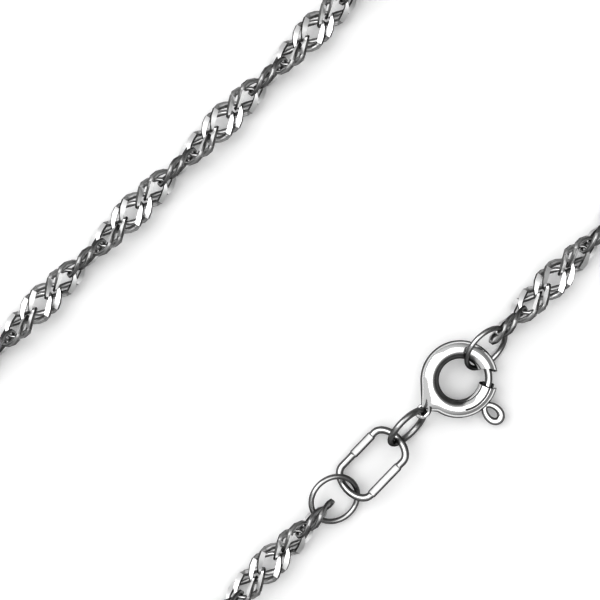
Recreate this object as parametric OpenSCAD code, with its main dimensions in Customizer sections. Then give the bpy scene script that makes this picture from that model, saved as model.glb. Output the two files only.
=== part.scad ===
// A singapore chain necklace, laid flat and fastened with its spring ring clasp.
// Millimetres. The surface that it lies on is z = 0 and the origin is the middle of its box there.
// X runs along the two straight strands, and the clasp is in the front strand, which is the -Y one.

/* [Necklace] */
// Length all the way round, with the clasp
loop_len = 450; // [400:1:500]
// Distance between the middles of the two strands
strand_gap = 21.6; // [20:0.1:30]
// Diameter of the cylinder that the twisted chain fills
chain_d = 2.1; // [1.9:0.05:2.2]
// Outer length of a chain link
link_len = 3.5; // [3.3:0.05:3.8]
// Outer width of a chain link
link_w = 1.9; // [1.8:0.02:2]
// Wire of a chain link
link_wire = 0.34; // [0.3:0.01:0.36]
// Gap between the last link and the rest of the chain
link_gap = 0.1; // [0.1:0.05:0.3]

/* [Spring ring] */
// How far right of the middle the spring ring's centre is
clasp_x = 3.53; // [3:0.05:5]
// How far the spring ring's centre hangs out from its strand
clasp_out = 0.2; // [0.1:0.05:0.3]
// Height of the spring ring's centre
clasp_z = 1.28; // [1.26:0.01:1.32]
// Tilt of the spring ring, its thumb loop down
clasp_tilt = 10; // [8:0.5:12]
// Outer diameter of the spring ring
clasp_od = 4.9; // [4.8:0.05:5.1]
// Diameter of its hollow tube
clasp_tube_d = 1; // [0.95:0.01:1.02]
// Wall of its tube
clasp_wall = 0.12; // [0.1:0.01:0.14]
// Direction of the tube end that the bolt closes on
gap_far_deg = -29; // [-32:1:-26]
// Direction of the tube end that the bolt comes out of
gap_near_deg = -57; // [-60:1:-55]

/* [Clasp loop] */
// Hole of the small loop soldered to the spring ring
eye_hole = 0.62; // [0.58:0.01:0.7]
// Wire of that loop
eye_wire = 0.26; // [0.22:0.01:0.28]
// Tilt of that loop
eye_tilt = -50; // [-55:1:-40]
// How deep the loop sinks into the tube where it is soldered
solder_sink = 0.05; // [0.02:0.01:0.08]
// Width of the tapered root where it leaves the tube
root_w = 1.4; // [1.2:0.05:1.6]
// Height of the root there
root_h = 0.7; // [0.6:0.05:0.75]

/* [Trigger] */
// Diameter of the bolt wire
bolt_d = 0.45; // [0.4:0.01:0.5]
// How far the closed bolt reaches into the far tube end
bolt_lap_deg = 3; // [2:0.5:5]
// Angle that the bolt wire turns through
bolt_arc_deg = 118; // [110:1:125]
// Direction of the thumb loop when the clasp is closed
thumb_deg = -90; // [-92:0.5:-88]
// Travel of the thumb loop
thumb_travel = 31; // [28:1:32]
// Diameter of the neck between the bolt and the thumb loop
neck_d = 0.28; // [0.24:0.01:0.3]
// Height of the neck above the middle of the tube
neck_up = 0.1; // [0.05:0.01:0.12]
// Wire of the thumb loop
thumb_wire = 0.32; // [0.28:0.01:0.34]
// Outer length of the thumb loop
thumb_len = 1.5; // [1.4:0.02:1.6]
// Outer width of the thumb loop
thumb_w = 1.17; // [1.1:0.01:1.2]
// Gap between the thumb loop and the tube
thumb_gap = 0.08; // [0.06:0.01:0.15]
// Lower edge of the slot, as a direction round the tube's own section
slot_low_deg = -15; // [-20:1:-12]
// Upper edge of the slot, as such a direction
slot_high_deg = 75; // [70:1:80]
// Angle that the slot runs on past the opened thumb loop's neck
slot_room_deg = 1; // [0.5:0.5:2]

/* [Jump ring] */
// Outer diameter of the jump ring
jump_od = 3.18; // [3.1:0.02:3.3]
// Wire of the jump ring
jump_wire = 0.34; // [0.3:0.01:0.36]
// Tilt of the jump ring about the strand
jump_tilt = 66; // [62:1:68]

/* [Tag link] */
// Outer length of the tag link
tag_len = 5; // [4.9:0.02:5.2]
// Outer width of the tag link
tag_w = 3.08; // [3:0.02:3.2]
// Wire of the tag link
tag_wire = 0.42; // [0.38:0.01:0.44]
// Length of each bare flat on it
flat_len = 2.4; // [1.6:0.1:2.5]
// Width of each flat
flat_w = 0.56; // [0.5:0.02:0.6]
// Thickness of each flat
flat_t = 0.26; // [0.2:0.02:0.3]
// Height of the tag link's centre
tag_z = 1.1; // [1.05:0.01:1.15]
// Tilt of the tag link about the strand
tag_tilt = -21; // [-24:1:-19]
// Lift of the tag link's end by the clasp
tag_pitch = -4; // [-6:1:-2]
// How far the jump ring and the tag link hook past each other
jump_hook = 0.53; // [0.45:0.01:0.6]

/* [End rings] */
// Outer diameter of the end ring by the tag link
end_od = 3.26; // [3.2:0.02:3.4]
// Wire of that ring
end_wire = 0.36; // [0.32:0.01:0.38]
// Tilt of that ring about the strand
end_tilt = 30; // [28:1:33]
// Height of its centre
end_z = 1; // [0.95:0.01:1.05]
// How far it and the tag link hook past each other
tag_hook = 0.6; // [0.5:0.01:0.65]
// Outer diameter of the end ring in the clasp
catch_od = 3.18; // [3.1:0.02:3.3]
// Wire of that ring
catch_wire = 0.3; // [0.26:0.01:0.32]
// Tilt of that ring about the strand
catch_tilt = 58; // [56:1:62]
// Gap between that ring and the inside of the spring ring
catch_gap = 0.2; // [0.15:0.01:0.25]
// How far each end ring and its chain link hook past each other
link_hook = 1.1; // [0.9:0.05:1.2]
// Lift of the steep rings off the surface
ring_lift = 0.03; // [0.02:0.01:0.06]

/* [Hidden] */
fine = 48;
// Sides of the chain's tube, segments of each round end and longest straight step, in chain diameters
chain_sides = 8;
turn_steps = 10;
straight_step = 3;
// Rolls of the two end links, which stand nearly on edge
roll_tag = 88;
roll_clasp = 108;
// How far a cut runs on past what it cuts, in millimetres and in degrees
cut_over = 0.05;
cut_over_deg = 5;

// Spring ring
clasp_r = (clasp_od - clasp_tube_d) / 2;
hollow_d = clasp_tube_d - 2 * clasp_wall;
tube_sweep = 360 - (gap_far_deg - gap_near_deg);
eye_r = (eye_hole + eye_wire) / 2;
eye_x = clasp_x - clasp_od / 2 - eye_r - eye_wire / 2 + solder_sink;

// Trigger, in the spring ring's own frame
bolt_tip_deg = gap_far_deg + bolt_lap_deg;
thumb_rc = (thumb_w - thumb_wire) / 2;
thumb_in = clasp_od / 2 + thumb_gap;
thumb_out = thumb_in + thumb_len;
neck_half_deg = asin(neck_d / 2 / clasp_r);
slot_end_deg = thumb_deg - thumb_travel - neck_half_deg - slot_room_deg;

// Places along the front strand, from the spring ring outwards
front_y = -strand_gap / 2 + (clasp_out + thumb_out * cos(clasp_tilt) - chain_d / 2) / 2;
back_y = front_y + strand_gap;
clasp_y = front_y - clasp_out;
jump_r = (jump_od - jump_wire) / 2;
jump_x = eye_x - jump_r;
jump_z = jump_r * sin(jump_tilt) + jump_wire / 2 + ring_lift;
tag_x = jump_x - jump_r + jump_hook - (tag_len - tag_wire) / 2;
end_r = (end_od - end_wire) / 2;
end_x = tag_x - (tag_len - tag_wire) / 2 + tag_hook - end_r;
catch_r = (catch_od - catch_wire) / 2;
catch_x = clasp_x + clasp_r - clasp_tube_d / 2 - catch_gap - catch_wire / 2 + catch_r;
catch_z = catch_r * sin(catch_tilt) + catch_wire / 2 + ring_lift;
link_half = (link_len - link_wire) / 2;
link_tag_x = end_x - end_r + link_hook - link_half;
link_clasp_x = catch_x + catch_r - link_hook + link_half;

// The chain's route: along the front strand from the clasp, round, back and round to the tag link
turn_r = strand_gap / 2;
straight = (loop_len - 2 * PI * turn_r) / 2;
chain_from = link_clasp_x + link_len / 2 + link_gap;
chain_to = link_tag_x - link_len / 2 - link_gap;
turn_y = (front_y + back_y) / 2;

// Even steps from a to b, no longer than step, without b itself
function steps(a, b, step) =
    let (n = ceil(abs(b - a) / step)) [for (i = [0 : n - 1]) a + (b - a) * i / n];

// Stations of the route, each with its place and heading
max_step = straight_step * chain_d;
route = concat(
    [for (x = steps(chain_from, straight / 2, max_step)) [x, front_y, 0]],
    [for (a = steps(-90, 90, 180 / turn_steps))
        [straight / 2 + turn_r * cos(a), turn_y + turn_r * sin(a), a + 90]],
    [for (x = steps(straight / 2, -straight / 2, max_step)) [x, back_y, 180]],
    [for (a = steps(90, 270, 180 / turn_steps))
        [-straight / 2 + turn_r * cos(a), turn_y + turn_r * sin(a), a + 90]],
    [for (x = steps(-straight / 2, chain_to, max_step)) [x, front_y, 360]],
    [[chain_to, front_y, 360]]
);

// A ring of wire in the XY plane
module wire_ring(r, wire, from = 0, sweep = 360) {
    rotate([0, 0, from])
        rotate_extrude(angle = sweep, $fn = fine)
            translate([r, 0])
                circle(d = wire, $fn = fine);
}

// An oval of wire in the XY plane, long along X, given by its outer sizes
module wire_oval(len, width, wire) {
    r = (width - wire) / 2;
    half = (len - width) / 2;
    for (side = [-1, 1]) {
        translate([side * half, 0, 0])
            wire_ring(r, wire, side > 0 ? -90 : 90, 180);
        translate([0, side * r, 0])
            rotate([0, 90, 0])
                cylinder(d = wire, h = 2 * half, center = true, $fn = fine);
    }
}

// The spring ring's own frame, flat in its XY plane
module at_clasp() {
    translate([clasp_x, clasp_y, clasp_z])
        rotate([clasp_tilt, 0, 0])
            children();
}

// The root that swells out of the tube and narrows to the soldered loop
module clasp_root() {
    tip_x = eye_x + eye_r;
    tip_w = eye_r;
    hull() {
        translate([clasp_x - clasp_r, clasp_y, clasp_z])
            rotate([0, 90, 0])
                linear_extrude(height = clasp_wall)
                    square([root_h, root_w], center = true);
        translate([tip_x, front_y, jump_z])
            rotate([0, 90, 0])
                linear_extrude(height = clasp_wall)
                    square([tip_w, tip_w], center = true);
    }
}

module clasp_body() {
    color("silver")
        difference() {
            union() {
                at_clasp()
                    wire_ring(clasp_r, clasp_tube_d, gap_far_deg, tube_sweep);
                clasp_root();
                translate([eye_x, front_y, jump_z])
                    rotate([eye_tilt, 0, 0])
                        wire_ring(eye_r, eye_wire);
            }
            // the hollow that the bolt slides in
            at_clasp()
                wire_ring(clasp_r, hollow_d);
            // the slot in the outer wall, open at the tube's end
            at_clasp()
                rotate([0, 0, slot_end_deg])
                    rotate_extrude(angle = gap_near_deg - slot_end_deg + cut_over_deg, $fn = fine)
                        translate([clasp_r, 0])
                            polygon([[0, 0],
                                     clasp_tube_d * [cos(slot_low_deg), sin(slot_low_deg)],
                                     clasp_tube_d * [1, 1],
                                     clasp_tube_d * [cos(slot_high_deg), sin(slot_high_deg)]]);
        }
}

module clasp_trigger() {
    color("gainsboro")
        at_clasp() {
            wire_ring(clasp_r, bolt_d, bolt_tip_deg - bolt_arc_deg, bolt_arc_deg);
            rotate([0, 0, thumb_deg])
                translate([0, 0, neck_up]) {
                    translate([clasp_r, 0, 0])
                        rotate([0, 90, 0])
                            cylinder(d = neck_d, h = thumb_in + thumb_wire / 2 - clasp_r, $fn = fine);
                    translate([(thumb_in + thumb_out) / 2, 0, 0])
                        wire_oval(thumb_len, thumb_w, thumb_wire);
                }
        }
}

module jump_ring() {
    color("silver")
        translate([jump_x, front_y, jump_z])
            rotate([jump_tilt, 0, 0])
                wire_ring(jump_r, jump_wire);
}

module tag_link() {
    limb_y = (tag_w - tag_wire) / 2;
    color("silver")
        translate([tag_x, front_y, tag_z])
            rotate([tag_tilt, 0, 0])
                rotate([0, tag_pitch, 0])
                    difference() {
                        union() {
                            wire_oval(tag_len, tag_w, tag_wire);
                            for (side = [-1, 1])
                                translate([0, side * limb_y, 0])
                                    cube([flat_len, flat_w, flat_t], center = true);
                        }
                        // the limbs are pressed flat over and under
                        for (side = [-1, 1], face = [-1, 1])
                            translate([0, side * limb_y, face * (flat_t + tag_wire) / 2])
                                cube([flat_len, tag_wire + 2 * cut_over, tag_wire], center = true);
                    }
}

module end_ring_tag() {
    color("silver")
        translate([end_x, front_y, end_z])
            rotate([end_tilt, 0, 0])
                wire_ring(end_r, end_wire);
}

module end_ring_clasp() {
    color("silver")
        translate([catch_x, front_y, catch_z])
            rotate([catch_tilt, 0, 0])
                wire_ring(catch_r, catch_wire);
}

module end_link_tag() {
    color("white")
        translate([link_tag_x, front_y, chain_d / 2])
            rotate([roll_tag, 0, 0])
                wire_oval(link_len, link_w, link_wire);
}

module end_link_clasp() {
    color("white")
        translate([link_clasp_x, front_y, chain_d / 2])
            rotate([roll_clasp, 0, 0])
                wire_oval(link_len, link_w, link_wire);
}

// The whole twisted chain as the tube that it fills
module chain() {
    count = len(route);
    color("gainsboro")
        polyhedron(
            points = [for (p = route, k = [0 : chain_sides - 1])
                let (a = 360 * k / chain_sides, out = chain_d / 2 * cos(a))
                [p[0] + out * sin(p[2]), p[1] - out * cos(p[2]), chain_d / 2 * (1 + sin(a))]],
            faces = concat(
                [[for (k = [0 : chain_sides - 1]) k]],
                [for (i = [0 : count - 2], k = [0 : chain_sides - 1])
                    let (next = (k + 1) % chain_sides, here = i * chain_sides, there = here + chain_sides)
                    [here + next, here + k, there + k, there + next]],
                [[for (k = [chain_sides - 1 : -1 : 0]) (count - 1) * chain_sides + k]]
            )
        );
}

clasp_body();
clasp_trigger();
jump_ring();
tag_link();
end_ring_tag();
end_ring_clasp();
end_link_tag();
end_link_clasp();
chain();
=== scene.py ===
"""The looks of a singapore chain necklace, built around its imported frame.

The necklace lies on a pale table, fastened with its spring ring clasp. Sizes are in millimetres
until a mesh is made. X runs along the two straight strands, Y across them and Z up from the table.
"""
import logging
import math
from collections.abc import Callable
from dataclasses import dataclass, field
from enum import Enum, IntEnum

import bpy
import numpy as np
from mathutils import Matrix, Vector


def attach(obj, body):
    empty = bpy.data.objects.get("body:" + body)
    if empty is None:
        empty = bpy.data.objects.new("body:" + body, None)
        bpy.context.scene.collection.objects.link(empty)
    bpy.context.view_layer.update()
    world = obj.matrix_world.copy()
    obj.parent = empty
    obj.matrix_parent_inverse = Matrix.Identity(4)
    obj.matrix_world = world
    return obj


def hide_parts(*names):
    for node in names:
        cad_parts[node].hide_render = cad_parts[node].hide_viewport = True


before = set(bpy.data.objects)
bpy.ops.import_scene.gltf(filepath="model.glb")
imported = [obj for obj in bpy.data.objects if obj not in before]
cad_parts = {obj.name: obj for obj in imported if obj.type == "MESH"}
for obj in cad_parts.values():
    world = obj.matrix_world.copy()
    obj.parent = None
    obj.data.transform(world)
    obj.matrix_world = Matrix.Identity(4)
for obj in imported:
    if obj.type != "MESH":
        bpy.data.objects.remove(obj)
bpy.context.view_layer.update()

LOG = logging.getLogger("necklace")
MM = 0.001

# Where the two straight strands lie across the table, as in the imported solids
FRONT_Y = -9.2406
STRAND_GAP = 21.6
BACK_Y = FRONT_Y + STRAND_GAP

UP = np.array([0.0, 0.0, 1.0])
# The superellipse power of a round section
ROUND = 2.0
# A small step of the angle round a link, in radians, to find the wire's direction there
LINK_STEP = 0.001
# How upright a wire's surface is where the painted light begins, and where it is full; flanks less
# upright are painted in shade
LIT_UPRIGHT = (0.78, 0.97)
# A wire's domed end: how far its curve goes round, its rows of points, and its height in radii
DOME_DEG = 84.0
DOME_ROWS = 5
DOME_HEIGHT = 0.5
# The Mix node's colour sockets by number, because its other sockets have the same names
MIX_A, MIX_B, MIX_RESULT = 6, 7, 2

# A function that paints light and shade on each point, from the points' places and normals
PaintedLight = Callable[[np.ndarray, np.ndarray], np.ndarray]


class Slot(Enum):
    """The record's material slots."""

    POLISHED = "polished_silver"
    DIAMOND_CUT = "diamond_cut_silver"


class Body(Enum):
    """The bodies that the pieces ride on."""

    NECKLACE = "necklace"
    TRIGGER = "trigger"


class Axis(IntEnum):
    """The place of each coordinate in a point."""

    X = 0
    Y = 1
    Z = 2


def linear(hex_colour: str) -> tuple[float, float, float, float]:
    """Turn an sRGB hex colour into linear light.

    Args:
        hex_colour: six hex digits, such as "c8c8c8".

    Returns:
        Red, green, blue and an alpha of 1.
    """
    srgb = np.array([int(hex_colour[i:i + 2], 16) / 255 for i in (0, 2, 4)])
    light = np.where(srgb <= 0.04045, srgb / 12.92, ((srgb + 0.055) / 1.055) ** 2.4)
    return (*light.tolist(), 1.0)


def empty_tree(owner: bpy.types.Material | bpy.types.World) -> bpy.types.NodeTree:
    """Turn on the nodes of a material or a world and clear them.

    Args:
        owner: the material or world.

    Returns:
        Its empty node tree.
    """
    owner.use_nodes = True
    owner.node_tree.nodes.clear()
    return owner.node_tree


def add_node(
    tree: bpy.types.NodeTree, kind: str, links: dict | None = None, **settings: object,
) -> bpy.types.Node:
    """Add one node with its settings and its incoming links.

    Args:
        tree: the node tree to add to.
        kind: the node's type name, such as "ShaderNodeBump".
        links: for each input's name or number, the output socket that feeds it, or its value.
        settings: attributes of the node itself.

    Returns:
        The new node.
    """
    node = tree.nodes.new(kind)
    for name, value in settings.items():
        setattr(node, name, value)
    for name, source in (links or {}).items():
        if isinstance(source, bpy.types.NodeSocket):
            tree.links.new(source, node.inputs[name])
        else:
            node.inputs[name].default_value = source
    return node


def add_object(name: str, data: bpy.types.ID) -> bpy.types.Object:
    """Put a mesh, a light or a camera into the scene.

    Args:
        name: the object's name.
        data: the mesh, light or camera.

    Returns:
        The new object, at the origin.
    """
    made = bpy.data.objects.new(name, data)
    bpy.context.scene.collection.objects.link(made)
    return made


@dataclass(frozen=True)
class SilverFinish:
    """Rhodium-plated sterling silver: its colour and gloss in painted shade, and in painted light.

    The painted shade is a dark grey for the flanks and hollows, the painted light a near white for
    the tops. On the chain the near white also lies on the real flats cut by the diamond cutter.
    """

    name: str
    # Colours and gloss of the painted shade and of the painted light
    painted_shade: str
    painted_light: str
    shade_roughness: float
    lit_roughness: float
    # Tint of the light that glances off at the edges, a dark grey that paints shade along the
    # outlines
    edge: str = "5a5a5a"
    # The tool's soft ripples: their wave, depth, detail and strength
    ripple_mm: float = 0.6
    ripple_depth_mm: float = 0.004
    ripple_detail: float = 2.0
    ripple_strength: float = 0.25
    # How much the ripples change the painted light
    uneven: float = 0.2
    # The hairlines: their wave and detail, and the roughness that they add
    hairline_mm: float = 0.05
    hairline_detail: float = 3.0
    hairline_scatter: float = 0.08

    def material(self) -> bpy.types.Material:
        """Build the node material.

        Returns:
            A material that reads Object coordinates and the painted light attribute, which is 0 for
            the painted shade and 1 for the painted light.
        """
        made = bpy.data.materials.new(self.name)
        tree = empty_tree(made)
        place = add_node(tree, "ShaderNodeTexCoord")
        # This attribute holds the painted light and shade of each point or quad
        tool = add_node(tree, "ShaderNodeAttribute", attribute_name="painted_light")
        ripple = add_node(
            tree, "ShaderNodeTexNoise",
            {"Vector": place.outputs["Object"], "Scale": 1 / (self.ripple_mm * MM),
             "Detail": self.ripple_detail})
        hairline = add_node(
            tree, "ShaderNodeTexNoise",
            {"Vector": place.outputs["Object"], "Scale": 1 / (self.hairline_mm * MM),
             "Detail": self.hairline_detail})
        # The painted light is uneven with the ripples, and hairlines scatter a little of the light
        # everywhere
        painted_light = add_node(
            tree, "ShaderNodeMath",
            {0: ripple.outputs["Fac"], 1: self.uneven, 2: tool.outputs["Fac"]},
            operation="MULTIPLY_ADD", use_clamp=True)
        gloss = add_node(
            tree, "ShaderNodeMapRange",
            {"Value": painted_light.outputs[0], "To Min": self.shade_roughness,
             "To Max": self.lit_roughness})
        rough = add_node(
            tree, "ShaderNodeMath",
            {0: hairline.outputs["Fac"], 1: self.hairline_scatter, 2: gloss.outputs["Result"]},
            operation="MULTIPLY_ADD")
        # The colour runs from the painted shade's dark grey to the painted light's near white
        colour = add_node(
            tree, "ShaderNodeMix",
            {"Factor": painted_light.outputs[0], MIX_A: linear(self.painted_shade), MIX_B: linear(self.painted_light)},
            data_type="RGBA")
        bump = add_node(
            tree, "ShaderNodeBump",
            {"Height": ripple.outputs["Fac"], "Strength": self.ripple_strength,
             "Distance": self.ripple_depth_mm * MM})
        shader = add_node(
            tree, "ShaderNodeBsdfPrincipled",
            {"Base Color": colour.outputs[MIX_RESULT], "Roughness": rough.outputs[0],
             "Normal": bump.outputs["Normal"], "Metallic": 1.0,
             "Specular Tint": linear(self.edge)})
        add_node(tree, "ShaderNodeOutputMaterial", {"Surface": shader.outputs["BSDF"]})
        return made


@dataclass(frozen=True)
class TableFinish:
    """Sanded opal acrylic, lit a little from below: an even pale table with a faint tooth."""

    name: str = "sanded_opal_acrylic"
    colour: str = "f4f4f4"
    glow: float = 0.03
    specular: float = 0.2
    # The tooth that the sanding left: its wave, and the roughness in its hollows and on its tips
    tooth_mm: float = 0.4
    hollow_roughness: float = 0.75
    tip_roughness: float = 0.9

    def material(self) -> bpy.types.Material:
        """Build the node material.

        Returns:
            A material that reads Object coordinates.
        """
        made = bpy.data.materials.new(self.name)
        tree = empty_tree(made)
        place = add_node(tree, "ShaderNodeTexCoord")
        tooth = add_node(
            tree, "ShaderNodeTexNoise",
            {"Vector": place.outputs["Object"], "Scale": 1 / (self.tooth_mm * MM)})
        rough = add_node(
            tree, "ShaderNodeMapRange",
            {"Value": tooth.outputs["Fac"], "To Min": self.hollow_roughness,
             "To Max": self.tip_roughness})
        shader = add_node(
            tree, "ShaderNodeBsdfPrincipled",
            {"Base Color": linear(self.colour), "Roughness": rough.outputs["Result"],
             "Specular IOR Level": self.specular, "Emission Color": linear(self.colour),
             "Emission Strength": self.glow})
        add_node(tree, "ShaderNodeOutputMaterial", {"Surface": shader.outputs["BSDF"]})
        return made


# Cast and drawn pieces, plated and then polished on a mop, with painted near white light on their
# tops and painted dark grey shade on their flanks and in their hollows
POLISHED_SILVER = SilverFinish(
    "rhodium_plated_silver_painted_light", painted_shade="565656", painted_light="f2f2f2",
    shade_roughness=0.3, lit_roughness=0.06)
# Drawn wire with flats cut by a diamond tool: the flats get painted near white light, and the rest
# of the wire a painted dark grey shade
DIAMOND_CUT_SILVER = SilverFinish(
    "diamond_cut_silver_wire", painted_shade="5a5a5a", painted_light="f4f4f4",
    shade_roughness=0.24, lit_roughness=0.26, ripple_mm=0.4)


def mark(
    mesh: bpy.types.Mesh, name: str, kind: str, domain: str, values: np.ndarray,
) -> None:
    """Write an attribute on a mesh.

    Args:
        mesh: the mesh to mark.
        name: the attribute's name.
        kind: the type of its values, such as "FLOAT".
        domain: what has a value each, such as "POINT".
        values: the values, in the mesh's order.
    """
    mesh.attributes.new(name, kind, domain).data.foreach_set("value", values)


@dataclass
class Surface:
    """Quads on grids of points, gathered in one mesh.

    Each quad also has a number from 0 for painted shade to 1 for painted light; on the chain 1 marks
    the cut flats.
    """

    points: list[np.ndarray] = field(default_factory=list)
    faces: list[np.ndarray] = field(default_factory=list)
    painted_light: list[np.ndarray] = field(default_factory=list)
    count: int = 0
    # A piece whose light and shade are painted by its normals stays crisp along edges that are
    # sharper than this
    crisp_deg: float = 38.0

    def add(self, grid: np.ndarray, closed: bool = True) -> None:
        """Add a grid of points as quads, each between neighbouring rows and columns.

        The last column joins the first. Seen from outside, the rows run to the left of the columns.

        Args:
            grid: points of shape (rows, columns, 3).
            closed: whether the last row joins the first too.
        """
        rows, columns = grid.shape[:2]
        i = np.arange(rows if closed else rows - 1)[:, None]
        j = np.arange(columns)[None]
        i_next = (i + 1) % rows
        j_next = (j + 1) % columns
        corners = (
            i * columns + j,
            i * columns + j_next,
            i_next * columns + j_next,
            i_next * columns + j,
        )
        quads = np.stack(np.broadcast_arrays(*corners), axis=-1).reshape(-1, 4)
        self.points.append(grid.reshape(-1, 3))
        self.faces.append(quads + self.count)
        self.painted_light.append(np.zeros(len(quads)))
        self.count += rows * columns

    def add_wall(self, outer: np.ndarray, inner: np.ndarray, kept: np.ndarray) -> None:
        """Add a wall between two grids whose last column joins the first, with holes in it.

        Each kept quad is there on both grids. Each edge between a kept quad and a missing one gets
        a quad that joins the two grids.

        Args:
            outer: points of the outer side, of shape (rows, columns, 3).
            inner: points of the inner side, of the same shape.
            kept: which quads are there, of shape (rows - 1, columns).
        """
        rows, columns = outer.shape[:2]
        inside = rows * columns
        number = np.arange(inside).reshape(rows, columns)
        after = np.roll(number, -1, 1)
        side = np.stack([number[:-1], after[:-1], after[1:], number[1:]], -1)[kept]
        along_rows = np.pad(kept, ((1, 1), (0, 0)))
        beside = np.roll(kept, 1, 1)
        rims = (
            (after, number, along_rows[1:] & ~along_rows[:-1]),
            (number, after, along_rows[:-1] & ~along_rows[1:]),
            (number[:-1], number[1:], kept & ~beside),
            (number[1:], number[:-1], beside & ~kept),
        )
        joins = [np.stack([a, b, b + inside, a + inside], -1)[there] for a, b, there in rims]
        quads = np.concatenate([side, side[:, ::-1] + inside, *joins])
        used, quads = np.unique(quads, return_inverse=True)
        quads = quads.reshape(-1, 4)
        self.points.append(np.concatenate([outer.reshape(-1, 3), inner.reshape(-1, 3)])[used])
        self.faces.append(quads + self.count)
        self.painted_light.append(np.zeros(len(quads)))
        self.count += len(used)

    def add_ended(self, grid: np.ndarray) -> None:
        """Add an open sweep with a dome at each end.

        In each row of a dome the end section is narrowed by the cosine of an angle and moved out by
        its sine times the dome's height. The last row leaves a small flat a tenth as wide, which
        strips across it close.

        Args:
            grid: the sweep's points of shape (stations, sides, 3).
        """
        rounds = np.linspace(0, math.radians(DOME_DEG), DOME_ROWS + 1)[1:]
        for end, inner in ((0, 1), (-1, -2)):
            rim = grid[end]
            middle = rim.mean(0)
            radius = np.linalg.norm(rim - middle, axis=1).mean()
            out = middle - grid[inner].mean(0)
            out /= np.linalg.norm(out)
            dome = middle + (rim - middle)[None] * np.cos(rounds)[:, None, None]
            dome = dome + out * (DOME_HEIGHT * radius * np.sin(rounds))[:, None, None]
            grid = np.concatenate([dome[::-1], grid] if end == 0 else [grid, dome])
        first = self.count
        self.add(grid, closed=False)
        rows, sides = grid.shape[:2]
        k = np.arange(sides // 2 - 1)
        flat = np.stack([k, sides - 1 - k, sides - 2 - k, k + 1], 1)
        last = first + (rows - 1) * sides
        self.faces.append(np.concatenate([flat + first, flat[:, ::-1] + last]))
        self.painted_light.append(np.zeros(2 * len(k)))

    def add_repeated(self, laid: np.ndarray, shine: np.ndarray) -> None:
        """Add many closed grids of one shape at once, by offsetting one grid's faces.

        Args:
            laid: points of shape (grids, rows, columns, 3).
            shine: how much painted light each quad has, of shape (grids, rows, columns).
        """
        grids, rows, columns = laid.shape[:3]
        one = Surface()
        one.add(laid[0])
        quads = one.faces[0][None] + (np.arange(grids) * rows * columns)[:, None, None]
        self.points.append(laid.reshape(-1, 3))
        self.faces.append(quads.reshape(-1, 4) + self.count)
        self.painted_light.append(shine.reshape(-1))
        self.count += grids * rows * columns

    def piece(
        self, name: str, finish: bpy.types.Material, body: Body, node: str,
        paint_light: PaintedLight | None = None,
    ) -> None:
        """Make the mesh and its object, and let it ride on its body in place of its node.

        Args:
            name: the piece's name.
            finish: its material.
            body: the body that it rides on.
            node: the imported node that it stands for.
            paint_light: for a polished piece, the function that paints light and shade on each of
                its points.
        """
        points = np.concatenate(self.points) * MM
        faces = np.concatenate(self.faces)
        mesh = bpy.data.meshes.new(name)
        mesh.from_pydata(points.tolist(), [], faces.tolist())
        mesh.polygons.foreach_set("use_smooth", np.ones(len(faces), bool))
        if paint_light:
            # Edges sharper than the crisp angle stay sharp, and light and shade are painted on each
            # point by its normal
            mesh.set_sharp_from_angle(angle=math.radians(self.crisp_deg))
            normals = np.empty(len(points) * 3, np.float32)
            mesh.vertex_normals.foreach_get("vector", normals)
            light_values = paint_light(points / MM, normals.reshape(-1, 3))
            mark(mesh, "painted_light", "FLOAT", "POINT", light_values.astype(np.float32))
        else:
            # An edge of a cut flat is crisp, and has one cut face beside it
            # Each quad's painted light and shade, full on the cut flats
            painted_light = np.concatenate(self.painted_light)
            mark(mesh, "painted_light", "FLOAT", "FACE", painted_light.astype(np.float32))
            edges = np.empty(len(mesh.loops), np.int32)
            mesh.loops.foreach_get("edge_index", edges)
            is_cut = np.repeat(painted_light == 1, faces.shape[1])
            beside = np.bincount(edges, is_cut, len(mesh.edges))
            mark(mesh, "sharp_edge", "BOOLEAN", "EDGE", beside == 1)
        mesh.materials.append(finish)
        mesh.validate()
        made = add_object(name, mesh)
        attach(made, body.value)
        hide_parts(node)
        LOG.info("%s: %d faces on %s", name, len(faces), body.value)


def turned(points: np.ndarray, axis: Axis, degrees: float) -> np.ndarray:
    """Turn points about an axis through the origin by the right-hand rule.

    Args:
        points: array whose last axis is x, y, z.
        axis: the axis to turn about.
        degrees: the turn.

    Returns:
        The turned points, in an array of the same shape.
    """
    a, b = (axis + 1) % 3, (axis + 2) % 3
    c, s = math.cos(math.radians(degrees)), math.sin(math.radians(degrees))
    out = points.copy()
    out[..., a] = points[..., a] * c - points[..., b] * s
    out[..., b] = points[..., a] * s + points[..., b] * c
    return out


def section_axes(ahead: np.ndarray, up: np.ndarray) -> tuple[np.ndarray, np.ndarray]:
    """Work out the directions of a section at each station of a path.

    The section's top is the up direction made square to the path, and its side is square to both.

    Args:
        ahead: the path's direction at each station, of any length.
        up: the up direction, one for all stations or one each.

    Returns:
        Unit vectors towards the side and towards the top, each of shape (stations, 3).
    """
    ahead = ahead / np.linalg.norm(ahead, axis=1)[:, None]
    top = up - ahead * (up * ahead).sum(1)[:, None]
    top /= np.linalg.norm(top, axis=1)[:, None]
    return np.cross(ahead, top), top


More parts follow.
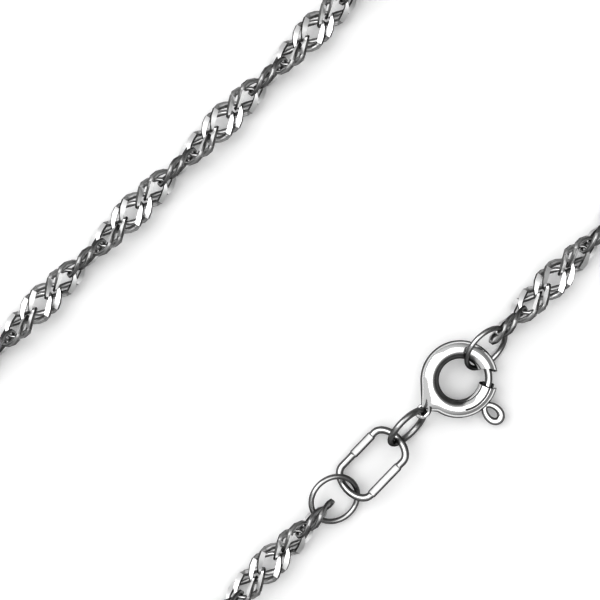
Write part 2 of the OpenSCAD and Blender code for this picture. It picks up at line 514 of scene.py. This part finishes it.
def swept(
    path: np.ndarray, closed: bool, wide: np.ndarray | float, high: np.ndarray | float,
    power: np.ndarray | float, sides: int,
) -> np.ndarray:
    """Carry a rounded section along a path, with its top kept upwards.

    The section is the superellipse |u / wide|^n + |v / high|^n = 1, where v points to the section's
    top, u to its side, and n is the power: 2 gives an ellipse and 8 nearly a box.

    Args:
        path: centre line of shape (stations, 3).
        closed: whether the path is a loop.
        wide: half width, one for all stations or one each.
        high: half height, one for all stations or one each.
        power: the section's power n, one for all stations or one each.
        sides: points round each section.

    Returns:
        A grid of shape (stations, sides, 3), with its faces outwards.
    """
    if closed:
        ahead = np.roll(path, -1, 0) - np.roll(path, 1, 0)
    else:
        ahead = np.gradient(path, axis=0)
    u, v = section_axes(ahead, UP)
    sizes = (np.broadcast_to(size, len(path))[:, None] for size in (wide, high, power))
    wide, high, power = sizes
    t = np.linspace(0, 2 * np.pi, sides, endpoint=False)[None]
    across = wide * np.sign(np.cos(t)) * np.abs(np.cos(t)) ** (2 / power)
    above = high * np.sign(np.sin(t)) * np.abs(np.sin(t)) ** (2 / power)
    return path[:, None] - across[..., None] * u[:, None] + above[..., None] * v[:, None]


def eased(value: np.ndarray, low: float, high: float) -> np.ndarray:
    """Rise smoothly from 0 at low to 1 at high, as 3 t^2 - 2 t^3."""
    t = np.clip((value - low) / (high - low), 0, 1)
    return t * t * (3 - 2 * t)


def painted_light_on_tops(points: np.ndarray, normals: np.ndarray) -> np.ndarray:
    """Paint light on a wire's top and bottom and shade on its flanks, by how upright its surface is.
    """
    return eased(np.abs(normals[:, Axis.Z]), *LIT_UPRIGHT)


@dataclass
class WireRing:
    """A round ring of wire, tilted about X from lying flat."""

    name: str
    node: str
    outer_d: float
    wire: float
    centre: tuple[float, float, float]
    tilt_deg: float
    # How much painted light its top and bottom have
    lit_share: float = 1.0
    stations: int = 120
    sides: int = 24

    def grid(self) -> np.ndarray:
        """Sweep a round section along a circle, tilt it about X and set it in place.

        Returns:
            A grid of shape (stations, sides, 3).
        """
        t = np.linspace(0, 2 * np.pi, self.stations, endpoint=False)
        radius = (self.outer_d - self.wire) / 2
        path = np.stack([radius * np.cos(t), radius * np.sin(t), 0 * t], 1)
        grid = swept(path, True, self.wire / 2, self.wire / 2, ROUND, self.sides)
        return turned(grid, Axis.X, self.tilt_deg) + np.array(self.centre)

    def painted_wire_light(self, points: np.ndarray, normals: np.ndarray) -> np.ndarray:
        """Paint light on the ring's top and bottom and shade on its flanks, scaled by its share."""
        return self.lit_share * painted_light_on_tops(points, normals)

    def build(self, finish: bpy.types.Material) -> None:
        """Make the ring's piece in place of its node.

        Args:
            finish: the polished silver.
        """
        surface = Surface()
        surface.add(self.grid())
        surface.piece(
            self.name, finish, Body.NECKLACE, self.node, self.painted_wire_light)


@dataclass
class Route:
    """The loop that the chain lies in: two straight strands with a half circle at each end.

    The distance u starts at the middle of the front strand and grows with X there.
    """

    loop_len: float = 450.0
    axis_z: float = 1.09

    def __post_init__(self) -> None:
        """Work out the half circles' radius and the straight stretch."""
        self.radius: float = STRAND_GAP / 2
        self.middle_y: float = (BACK_Y + FRONT_Y) / 2
        self.arc: float = math.pi * self.radius
        self.half: float = (self.loop_len - 2 * self.arc) / 4

    def place(self, u: np.ndarray, side: np.ndarray, rise: np.ndarray) -> np.ndarray:
        """Put points beside the route.

        Along a half circle the heading turns evenly with u, and a point stands off the route by its
        side distance, square to the heading.

        Args:
            u: distance along the route.
            side: distance to the left of the heading, which is inwards.
            rise: height above the chain's axis.

        Returns:
            Points with x, y, z on the last axis.
        """
        u = u % self.loop_len
        turned_u = self.half + self.arc
        back_u = turned_u + 2 * self.half
        last_u = back_u + self.arc
        right = (u - self.half) / self.radius - math.pi / 2
        left = (u - back_u) / self.radius + math.pi / 2
        reach = self.radius - side
        zones = [u < self.half, u < turned_u, u < back_u, u < last_u]
        x_in_zones = [
            u,
            self.half + reach * np.cos(right),
            self.half - (u - turned_u),
            -self.half + reach * np.cos(left),
        ]
        y_in_zones = [
            FRONT_Y + side,
            self.middle_y + reach * np.sin(right),
            BACK_Y - side,
            self.middle_y + reach * np.sin(left),
        ]
        x = np.select(zones, x_in_zones, u - self.loop_len)
        y = np.select(zones, y_in_zones, FRONT_Y + side)
        return np.stack([x, y, self.axis_z + rise], -1)


@dataclass
class TwistedLink:
    """One link of the chain: a lozenge of wire with a flat cut along each limb.

    The two limbs that rise with x lie in front of the other two.
    """

    half_len: float = 1.21
    half_width: float = 0.86
    power: float = 1.3
    # How far the limbs stand off the link's middle plane, how that grows from the tips and how
    # suddenly it swaps
    lift: float = 0.5
    growth: float = 1.0
    swap: float = 1.2
    # How far the flats turn towards the link's long axis
    lean_deg: float = 18.0
    # In each quarter of the link, from its tip: where the sections stand, the wire and half the
    # flat's angle there
    stations_deg: tuple[float, ...] = (12.0, 34.0, 56.0, 78.0)
    wires: tuple[float, ...] = (0.26, 0.33, 0.43, 0.43)
    flats_deg: tuple[float, ...] = (26.0, 50.0, 54.0, 46.0)
    # Half the angle of the plain side opposite a flat
    plain_deg: float = 17.0
    # The wire's height as a share of its width
    oval: float = 0.85
    # How bright the wire is painted, between the painted dark shade beside the flats at 0 and the
    # flats' painted light at 1: its plain sides, and the side opposite a flat, a painted highlight
    painted_shade: float = 0.25
    crown_highlight: float = 0.6

    def centre_line(self, t: np.ndarray) -> np.ndarray:
        """Follow the wire's middle round the link.

        The outline is the superellipse |x / half_len|^p + |y / half_width|^p = 1. The height is
        lift * |sin t|^growth * |cos t|^swap, above the middle plane on the limbs that rise with x
        and below it on the other two.

        Args:
            t: angle round the link, in radians, from the tip at +x.

        Returns:
            Points of shape (len(t), 3).
        """
        share = 2 / self.power
        across, along = np.sin(t), np.cos(t)
        x = self.half_len * np.sign(along) * np.abs(along) ** share
        y = self.half_width * np.sign(across) * np.abs(across) ** share
        off = self.lift * np.abs(across) ** self.growth * np.abs(along) ** self.swap
        return np.stack([x, y, -np.sign(across * along) * off], 1)

    def grid(self) -> tuple[np.ndarray, np.ndarray]:
        """Sweep a six-sided section whose top side is wide on the front limbs.

        On the other limbs the bottom side is wide. The six corners stand round the wire at a, 90,
        180 - b and their opposites, in degrees from the section's top, where a and b are half the
        angles of the top and bottom sides. The top leans about the link's long axis by
        lean * sin 2t, inwards on the front limbs and outwards on the back ones.

        Returns:
            A grid of shape (stations, 6, 3), and how bright each of its quads is painted: 1 for a
            cut flat's painted light, 0 for the painted dark shade of the sides beside it, a painted
            highlight on the side opposite it and a painted dark grey shade elsewhere.
        """
        def round_link(values: tuple[float, ...]) -> np.ndarray:
            """Repeat a quarter's values round the link, to and fro."""
            return np.concatenate([values, values[::-1]] * 2)

        quarter = np.repeat(np.arange(4), len(self.stations_deg))
        stations = round_link(self.stations_deg)
        t = np.radians(quarter * 90 + np.where(quarter % 2 == 1, 90 - stations, stations))
        path = self.centre_line(t)
        ahead = self.centre_line(t + LINK_STEP) - self.centre_line(t - LINK_STEP)
        lean = math.radians(self.lean_deg) * np.sin(2 * t) * np.sign(np.sin(t))
        u, v = section_axes(ahead, np.stack([0 * t, np.sin(lean), np.cos(lean)], 1))
        front = path[:, Axis.Z] > 0
        wide = np.radians(round_link(self.flats_deg))
        plain = math.radians(self.plain_deg)
        top, bottom = np.where(front, wide, plain), np.pi - np.where(front, plain, wide)
        middle = (top + bottom) / 2
        angles = np.stack([top, middle, bottom, -bottom, -middle, -top], 1)[..., None]
        offset = self.oval * np.cos(angles) * v[:, None] + np.sin(angles) * u[:, None]
        # A side has the number of the corner that it starts from
        sides, top_side, bottom_side = 6, 5, 2
        top_cut = front & np.roll(front, -1)
        bottom_cut = ~front & ~np.roll(front, -1)
        # Quads start as painted dark grey shade; each cut flat gets painted light, the sides beside
        # it painted dark lines of shade, and the side opposite a painted highlight
        shine = np.full((len(t), sides), self.painted_shade)
        cuts = ((top_cut, top_side, bottom_side), (bottom_cut, bottom_side, top_side))
        for cut, side, opposite in cuts:
            shine[cut, side] = 1
            shine[cut, side - 1] = 0
            shine[cut, (side + 1) % sides] = 0
            shine[cut, opposite] = self.crown_highlight
        return path[:, None] + offset * round_link(self.wires)[:, None, None] / 2, shine


@dataclass
class Chain:
    """The whole twisted chain: pairs of links, each pair through the next, along the route."""

    route: Route
    link: TwistedLink
    # Flat places of the twist nearest the clasp, to its right and left, in X
    flat_right: float = 12.13
    flat_left: float = -13.0
    half_twists: int = 53
    pairs_per_half_twist: int = 4
    # Step between the two links of a pair
    pair_step: float = 0.7
    # Pairs past the flat places towards the clasp, and the second link's shift to clear its ring
    end_pairs: int = 2
    hooked_shift: float = -0.06

    def __post_init__(self) -> None:
        """Work out the pitch of the pairs and the twist per millimetre."""
        span = self.route.loop_len + self.flat_left - self.flat_right
        half_twist = span / self.half_twists
        self.pitch: float = half_twist / self.pairs_per_half_twist
        self.turn_per_mm: float = 180 / half_twist

    def centres(self) -> np.ndarray:
        """List the links' centres along the route, in order.

        The pairs stand a pitch apart, with a pair's middle at each flat place, and each link goes
        through the next two. The first pair and the last hang in the end rings.

        Returns:
            Distances along the route.
        """
        count = self.half_twists * self.pairs_per_half_twist + 2 * self.end_pairs + 1
        middles = self.flat_right + self.pitch * (np.arange(count) - self.end_pairs)
        steps = np.array([-0.5, 0.5]) * self.pair_step
        centres = (middles[:, None] + steps).reshape(-1)
        centres[1] += self.hooked_shift
        return centres

    def laid(self, centres: np.ndarray) -> tuple[np.ndarray, np.ndarray]:
        """Turn and lay a link at each centre.

        A link's turn about the chain's axis grows evenly along the route and is 0 at the flat
        place to the clasp's right.

        Args:
            centres: distances along the route.

        Returns:
            Points of shape (links, stations, 6, 3), and how bright each quad is, of shape
            (links, stations, 6).
        """
        grid, shine = self.link.grid()
        roll = np.radians(self.turn_per_mm * (centres - self.flat_right))[:, None, None]
        y = grid[..., Axis.Y] * np.cos(roll) - grid[..., Axis.Z] * np.sin(roll)
        z = grid[..., Axis.Y] * np.sin(roll) + grid[..., Axis.Z] * np.cos(roll)
        u = centres[:, None, None] + grid[..., Axis.X]
        return self.route.place(u, y, z), np.broadcast_to(shine, (len(centres), *shine.shape))

    def build(self, finish: bpy.types.Material) -> None:
        """Make the chain's three pieces: its two pairs of end links and all between them.

        Args:
            finish: the diamond-cut silver.
        """
        centres = self.centres()
        shares = (
            ("end_links_by_clasp", "end_link_clasp", centres[:2]),
            ("end_links_by_tag", "end_link_tag", centres[-2:]),
            ("chain_links", "chain", centres[2:-2]),
        )
        for name, node, where in shares:
            surface = Surface()
            surface.add_repeated(*self.laid(where))
            surface.piece(name, finish, Body.NECKLACE, node)
        LOG.info("chain: %d links, pitch %.3f mm", len(centres), self.pitch)


@dataclass
class SpringRing:
    """The spring ring clasp: a split tube with a nose and a soldered loop, and its sliding bolt."""

    centre: tuple[float, float, float] = (3.53, FRONT_Y - 0.2, 1.28)
    tilt_deg: float = 10.0
    radius: float = 1.88
    tube_d: float = 1.14
    wall: float = 0.12
    far_deg: float = -26.0
    near_deg: float = -57.0
    # Both ends lean back at the top, and the far one also on its inner side, over this much of the
    # ring
    lean_deg: float = 3.5
    far_slant_deg: float = 8.0
    leaning_deg: float = 30.0
    # The slot's end round the ring, and its edges round the tube's section
    slot_end_deg: float = -130.0
    slot_low_deg: float = -34.0
    slot_high_deg: float = 24.0
    # The tube's closed seam above the slot: its end round the ring and how gently it ends there,
    # its place and half width round the section, and its depth
    seam_end_deg: float = -123.5
    seam_fade_deg: float = 4.0
    seam_deg: float = 89.0
    seam_half_deg: float = 5.0
    seam_deep: float = 0.09
    # Sections up to the slot and along it, and points round a section: up to the seam, across it,
    # on to the slot, and across the slot
    tube_stations: tuple[int, int] = (190, 56)
    tube_points: tuple[int, ...] = (56, 16, 14, 12)
    # How upright a surface gets painted light outside and inside, from which side the painted light
    # comes into the hole and how much that counts, and how far below the tube's outer side the
    # painted shade of the seam and the hollow begins
    light_outer: tuple[float, float] = (0.4, 0.68)
    light_inner: tuple[float, float] = (0.84, 0.985)
    light_from: tuple[float, float] = (-0.6, 0.8)
    light_facing: float = 0.85
    shade_depth: float = 0.015
    # The nose that swells out of the tube towards the loop
    nose_deg: float = 174.5
    nose_out: float = 0.6
    nose_down_deg: float = 18.0
    # The bolt
    bolt_d: float = 0.45
    bolt_from_deg: float = -144.0
    bolt_to_deg: float = -18.0
    bolt_stations: int = 90
    bolt_sides: int = 24
    # The neck of the thumb loop: its place round the ring, its height, and its half width at the
    # bolt and at the loop
    thumb_deg: float = -90.0
    neck_up: float = -0.03
    neck_half: tuple[float, float] = (0.13, 0.17)
    neck_stations: int = 12
    # The thumb loop: its middle's half width and half length, its distance, and how it narrows
    # towards the ring
    thumb_across: float = 0.41
    thumb_along: float = 0.64
    thumb_reach: float = 3.08
    thumb_narrower: float = 0.12
    # Half its wire, how much thicker that is at the outer end and thinner at the other, and its
    # section: the height as a share of the width, and the power
    thumb_half: float = 0.205
    thumb_thicker: float = 0.03
    thumb_oval: float = 0.95
    thumb_power: float = 2.3
    thumb_stations: int = 96
    thumb_sides: int = 20
    # The soldered loop: outer diameter, wire, middle and tilt
    loop_d: float = 1.14
    loop_wire: float = 0.26
    loop_centre: tuple[float, float, float] = (0.56, FRONT_Y, 1.5)
    loop_tilt_deg: float = -50.0
    loop_stations: int = 64
    loop_sides: int = 16

    def placed(self, points: np.ndarray) -> np.ndarray:
        """Set points of the ring's own frame in place: tilted about X, then moved to its centre."""
        return turned(points, Axis.X, self.tilt_deg) + np.array(self.centre)

    def nose(self, theta: np.ndarray) -> np.ndarray:
        """Give the nose's reach past the tube.

        Above the tip its side is the tangent from the tip to the ring: with the ring's outer radius
        R and the tangent's angle w, where cos w = R / (R + nose_out), the reach is
        R / cos(w - off) - R. Below, it falls as (1 - s)^2 (1 + s), where s goes from 0 at the tip
        to 1.

        Args:
            theta: angle round the ring, in degrees.

        Returns:
            Millimetres past the tube's outer side.
        """
        outer = self.radius + self.tube_d / 2
        wide = math.acos(outer / (outer + self.nose_out))
        off = (theta - self.nose_deg + 180) % 360 - 180
        above = outer / np.cos(np.clip(wide - np.radians(np.abs(off)), 0, None)) - outer
        share = np.clip(off / self.nose_down_deg, 0, 1)
        return np.where(off < 0, above, self.nose_out * (1 - share) ** 2 * (1 + share))

    def shell(self, surface: Surface) -> None:
        """Add the tube as a wall with an outer and an inner side.

        The wall's section starts at the slot's lower edge, goes down and round to its upper edge,
        and on across the slot. With phi as the angle round the section, the sections beside an end
        stand back from it by lean * sin(phi), and at the far end by a further -slant * cos(phi).
        The seam is a groove whose depth is the bell curve exp(-(offset / half width)^4).

        Args:
            surface: where the wall goes.
        """
        slot_end, near = 360 + self.slot_end_deg, 360 + self.near_deg
        theta = np.concatenate([
            np.linspace(self.far_deg, slot_end, self.tube_stations[0], endpoint=False),
            np.linspace(slot_end, near, self.tube_stations[1])])[:, None]
        seam, seam_wide = self.seam_deg - 360, 2 * self.seam_half_deg
        slot_high = self.slot_high_deg - 360
        marks = (
            self.slot_low_deg, seam + seam_wide, seam - seam_wide, slot_high,
            self.slot_low_deg - 360)
        phi = np.concatenate([
            np.linspace(start, end, count, endpoint=False)
            for start, end, count in zip(marks, marks[1:], self.tube_points)])[None]
        kept = (theta[:-1] < slot_end) | (phi > slot_high)
        groove = self.seam_deep * np.exp(-((phi - seam) / self.seam_half_deg) ** 4)
        seam_end, fade = 360 + self.seam_end_deg, self.seam_fade_deg / 2
        groove = groove * eased(theta, seam_end - fade, seam_end + fade)
        phi = np.radians(phi)
        far_share = np.clip(1 - (theta - self.far_deg) / self.leaning_deg, 0, 1)
        near_share = np.clip(1 - (near - theta) / self.leaning_deg, 0, 1)
        lean = (far_share - near_share) * self.lean_deg * np.sin(phi)
        angle = np.radians(theta + lean - far_share * self.far_slant_deg * np.cos(phi))

        def side(half: np.ndarray | float, nose: np.ndarray | float) -> np.ndarray:
            """Make one side: a circle round the tube's middle, pushed out by the nose."""
            out = self.radius + half * np.cos(phi) + nose * np.clip(np.cos(phi), 0, 1) ** 2
            up = half * np.sin(phi) + 0 * angle
            return np.stack([out * np.cos(angle), out * np.sin(angle), up], -1)

        outer = side(self.tube_d / 2 - groove, self.nose(theta))
        inner = side(self.tube_d / 2 - self.wall, 0)
        surface.add_wall(self.placed(outer), self.placed(inner), kept)

    def loop(self) -> np.ndarray:
        """Sweep the small soldered loop, which holds the nose's tip.

        Returns:
            A grid of shape (stations, sides, 3).
        """
        ring = WireRing(
            "", "", self.loop_d, self.loop_wire, self.loop_centre, self.loop_tilt_deg,
            stations=self.loop_stations, sides=self.loop_sides)
        return ring.grid()

    def bolt(self, surface: Surface) -> None:
        """Add the bolt: a round wire on an arc of the ring, with domed ends.

        Args:
            surface: where the bolt goes.
        """
        angle = np.radians(
            np.linspace(self.bolt_from_deg, self.bolt_to_deg, self.bolt_stations))
        path = self.radius * np.stack([np.cos(angle), np.sin(angle), 0 * angle], 1)
        grid = swept(path, False, self.bolt_d / 2, self.bolt_d / 2, ROUND, self.bolt_sides)
        surface.add_ended(self.placed(grid))

    def thumb(self, surface: Surface) -> None:
        """Add the neck and the thumb loop.

        They are made along -Y and then turned to their place round the ring. With t as the angle
        round it, the loop's middle is the ellipse (across cos t, along sin t), whose width is then
        multiplied by 1 + narrower * sin t.

        Args:
            surface: where the neck and the loop go.
        """
        turn = self.thumb_deg + 90
        t = np.linspace(0, 2 * np.pi, self.thumb_stations, endpoint=False)
        out = self.thumb_reach + self.thumb_along * np.sin(t)
        side = self.thumb_across * np.cos(t) * (1 + self.thumb_narrower * np.sin(t))
        path = np.stack([side, -out, np.full_like(t, self.neck_up)], 1)
        half = self.thumb_half + self.thumb_thicker * np.sin(t)
        grid = swept(path, True, half, self.thumb_oval * half, self.thumb_power, self.thumb_sides)
        surface.add(self.placed(turned(grid, Axis.Z, turn)))
        down = np.linspace(self.radius, self.thumb_reach - self.thumb_along, self.neck_stations)
        neck = np.stack([0 * down, -down, np.full_like(down, self.neck_up)], 1)
        half = np.linspace(*self.neck_half, self.neck_stations)
        grid = swept(neck, False, half, half, ROUND, self.thumb_sides)
        surface.add_ended(self.placed(turned(grid, Axis.Z, turn)))

    def painted_ring_light(self, points: np.ndarray, normals: np.ndarray) -> np.ndarray:
        """Paint light on the ring: on its top and most of its outer side.

        Of the slope towards the hole it lights only what faces the side that the painted light comes
        from, and leaves the rest as a dark band of painted shade. It paints the seam and the hollow
        in dark shade.

        Args:
            points: places of shape (count, 3).
            normals: unit normals of the same shape.

        Returns:
            From 0 for painted shade to 1 for painted light, one for each point.
        """
        own = turned(points - np.array(self.centre), Axis.X, -self.tilt_deg)
        from_axis = np.linalg.norm(own[:, :2], axis=1)
        outwards = (normals[:, :2] * own[:, :2]).sum(1)
        from_middle = np.hypot(from_axis - self.radius, own[:, Axis.Z])
        # Points deep in the seam and the hollow are painted in shade
        deep = from_middle < self.tube_d / 2 - self.shade_depth
        outer = eased(np.abs(normals[:, Axis.Z]), *self.light_outer)
        from_x, from_y = self.light_from
        facing = np.clip(from_x * normals[:, Axis.X] + from_y * normals[:, Axis.Y], 0, 1)
        inner = eased(normals[:, Axis.Z] + self.light_facing * facing, *self.light_inner)
        return np.where(deep, 0.0, np.where(outwards > 0, outer, inner))

    def build(self, finish: bpy.types.Material) -> None:
        """Make the clasp's two pieces: the ring with its loop, and the trigger.

        Args:
            finish: the polished silver.
        """
        ring = Surface()
        self.shell(ring)
        ring.add(self.loop())
        ring.piece(
            "spring_ring", finish, Body.NECKLACE, "clasp_body", self.painted_ring_light)
        trigger = Surface()
        self.bolt(trigger)
        self.thumb(trigger)
        trigger.piece(
            "spring_ring_trigger", finish, Body.TRIGGER, "clasp_trigger",
            painted_light_on_tops)


@dataclass
class TagLink:
    """The oval link beside the clasp, with a pressed bare flat on each limb."""

    length: float = 5.0
    width: float = 3.08
    wire: float = 0.46
    # Straight stretch of each limb
    straight: float = 2.9
    # Each flat's middle and length along its limb, upper and lower
    upper_flat: tuple[float, float] = (0.39, 1.62)
    lower_flat: tuple[float, float] = (-0.17, 2.38)
    # The flats' common width, thickness and section power, and where the pressing starts and is
    # full, inwards from a flat's end
    flat_w: float = 0.53
    flat_t: float = 0.38
    flat_power: float = 3.6
    press_ramp: tuple[float, float] = (-0.08, 0.02)
    # How much painted light the wire, the pressed flats and the painted dark lines of shade between
    # them have, and half a line's width
    wire_lit_share: float = 0.5
    flat_lit_share: float = 0.3
    line_lit_share: float = 0.1
    line_half: float = 0.035
    centre: tuple[float, float, float] = (-4.04, FRONT_Y - 0.12, 1.1)
    tilt_deg: float = -21.0
    pitch_deg: float = -4.0
    # Sections along a limb and round a bend, and points round a section
    limb_stations: int = 100
    bend_stations: int = 80
    sides: int = 40

    def painted_limb_light(self, points: np.ndarray, normals: np.ndarray) -> np.ndarray:
        """Paint light on the oval's top and bottom, less on the flats, and shade on its flanks and
        in thin dark lines at the flats' ends.

        Args:
            points: places of shape (count, 3).
            normals: unit normals of the same shape.

        Returns:
            From 0 for painted shade to 1 for painted light, one for each point.
        """
        x = points[:, Axis.X] - self.centre[Axis.X]
        upper = points[:, Axis.Y] > self.centre[Axis.Y]
        middle = np.where(upper, self.upper_flat[0], self.lower_flat[0])
        length = np.where(upper, self.upper_flat[1], self.lower_flat[1])
        past = np.abs(x - middle) - length / 2
        share = np.where(past < 0, self.flat_lit_share, self.wire_lit_share)
        # A thin painted dark line of shade at each end of a flat
        share = np.where(np.abs(past) < self.line_half, self.line_lit_share, share)
        return painted_light_on_tops(points, normals) * share

    def build(self, finish: bpy.types.Material) -> None:
        """Sweep the wire round an oval whose section goes flat on the limbs.

        The oval is a straight stretch and half an ellipse, by turns.

        Args:
            finish: the polished silver.
        """
        reach, half = (self.length - self.wire) / 2, (self.width - self.wire) / 2
        straight = self.straight / 2
        bend = np.radians(np.linspace(-90, 90, self.bend_stations, endpoint=False))
        limb = np.linspace(-straight, straight, self.limb_stations, endpoint=False)
        end_x = straight + (reach - straight) * np.cos(bend)
        end_y = half * np.sin(bend)
        x = np.concatenate([limb, end_x, -limb, -end_x])
        y = np.concatenate([-half + 0 * limb, end_y, half + 0 * limb, -end_y])
        path = np.stack([x, y, 0 * x], 1)
        on_limb = np.abs(x) <= straight
        flats = ((on_limb & (y > 0), self.upper_flat), (on_limb & (y < 0), self.lower_flat))
        pressed = sum(
            on_side * eased(length / 2 - np.abs(x - middle), *self.press_ramp)
            for on_side, (middle, length) in flats)
        wide = self.wire / 2 + (self.flat_w - self.wire) / 2 * pressed
        high = self.wire / 2 + (self.flat_t - self.wire) / 2 * pressed
        power = ROUND + (self.flat_power - ROUND) * pressed
        grid = turned(swept(path, True, wide, high, power, self.sides), Axis.Y, self.pitch_deg)
        surface = Surface()
        surface.add(turned(grid, Axis.X, self.tilt_deg) + np.array(self.centre))
        surface.piece(
            "tag_oval", finish, Body.NECKLACE, "tag_link", self.painted_limb_light)


@dataclass(frozen=True)
class Softbox:
    """A square soft light that faces the necklace: its place and size, and its power."""

    name: str
    place: tuple[float, float, float]
    size: float
    watts: float

    def hang(self) -> None:
        """Make the light and turn it to the necklace."""
        light = bpy.data.lights.new(self.name, "AREA")
        light.shape = "SQUARE"
        light.size = self.size * MM
        light.energy = self.watts
        lamp = add_object(self.name, light)
        lamp.location = Vector(self.place) * MM
        lamp.rotation_euler = (-lamp.location).to_track_quat("-Z", "Y").to_euler()


@dataclass
class Studio:
    """The pale table, the soft lights and the camera straight above."""

    table_half: float = 2000.0
    softboxes: tuple[Softbox, ...] = (
        Softbox("overhead_softbox", (0.0, -40.0, 420.0), 500.0, 0.76),
        Softbox("key_softbox", (-130.0, 300.0, 380.0), 450.0, 1.32),
    )
    # The tent glows towards this side, and its glow rises between two cosines of the angle from
    # there
    tent_colour: str = "ffffff"
    tent_towards: tuple[float, float, float] = (-0.35, 0.45, 0.8)
    tent_low: float = 0.0
    tent_high: float = 0.6
    tent_dark: float = 0.3
    tent_bright: float = 0.72
    # The contrast of the photograph's print, as the view's gamma
    print_gamma: float = 0.8
    lens_mm: float = 100.0
    sensor_mm: float = 36.0
    # What the camera sees: from near to far along its axis
    clip: tuple[float, float] = (2.0, 20000.0)
    # The photograph's frame: its width at the chain's height, and the point at its middle
    frame_mm: float = 37.5
    middle: tuple[float, float] = (0.0, 1.07)
    height_in_focus: float = 1.05
    roll_deg: float = -45.0

    def camera(self) -> None:
        """Look straight down, turned so that the strands run from lower left to upper right."""
        lens = bpy.data.cameras.new("camera")
        lens.lens = self.lens_mm
        lens.sensor_width = self.sensor_mm
        lens.clip_start, lens.clip_end = (distance * MM for distance in self.clip)
        camera = add_object("camera", lens)
        above = self.frame_mm * self.lens_mm / self.sensor_mm + self.height_in_focus
        camera.location = Vector((*self.middle, above)) * MM
        camera.rotation_euler = (0, 0, math.radians(self.roll_deg))
        bpy.context.scene.camera = camera

    def table(self) -> None:
        """Lay the table top under the necklace."""
        h = self.table_half * MM
        mesh = bpy.data.meshes.new("table_top")
        mesh.from_pydata([(-h, -h, 0), (h, -h, 0), (h, h, 0), (-h, h, 0)], [], [(0, 1, 2, 3)])
        mesh.materials.append(TableFinish().material())
        add_object("table_top", mesh)

    def lights(self) -> None:
        """Hang the softboxes and set the tent round them, darkest along one side of the table.

        The tent's glow rises with the cosine of the angle from its bright side.
        """
        for softbox in self.softboxes:
            softbox.hang()
        tent = bpy.data.worlds.new("light_tent")
        tree = empty_tree(tent)
        place = add_node(tree, "ShaderNodeTexCoord")
        towards = add_node(
            tree, "ShaderNodeVectorMath",
            {0: place.outputs["Generated"], 1: Vector(self.tent_towards).normalized()},
            operation="DOT_PRODUCT")
        glow = add_node(
            tree, "ShaderNodeMapRange",
            {"Value": towards.outputs["Value"], "From Min": self.tent_low,
             "From Max": self.tent_high, "To Min": self.tent_dark, "To Max": self.tent_bright})
        cloth = add_node(
            tree, "ShaderNodeBackground",
            {"Color": linear(self.tent_colour), "Strength": glow.outputs["Result"]})
        add_node(tree, "ShaderNodeOutputWorld", {"Surface": cloth.outputs["Background"]})
        bpy.context.scene.world = tent

    def print_view(self) -> None:
        """Show the render with the print's contrast."""
        view = bpy.context.scene.view_settings
        view.view_transform = "Standard"
        view.gamma = self.print_gamma


def main() -> None:
    """Build the studio and the necklace."""
    logging.basicConfig(level=logging.INFO, format="%(message)s")
    studio = Studio()
    studio.camera()
    studio.table()
    studio.lights()
    studio.print_view()
    polished = POLISHED_SILVER.material()
    diamond_cut = DIAMOND_CUT_SILVER.material()
    Chain(Route(), TwistedLink()).build(diamond_cut)
    SpringRing().build(polished)
    TagLink().build(polished)
    rings = (
        WireRing(
            "jump_ring_wire", "jump_ring", outer_d=3.18, wire=0.4,
            centre=(-0.86, FRONT_Y, 1.5), tilt_deg=66.0, lit_share=0.4),
        WireRing(
            "end_ring_by_tag", "end_ring_tag", outer_d=3.42, wire=0.34,
            centre=(-7.27, FRONT_Y, 1.12), tilt_deg=27.5, lit_share=0.5),
        WireRing(
            "end_ring_by_clasp", "end_ring_clasp", outer_d=3.38, wire=0.32,
            centre=(6.07, FRONT_Y, 1.41), tilt_deg=54.0, lit_share=0.6),
    )
    for ring in rings:
        ring.build(polished)


if __name__ == "__main__":
    main()
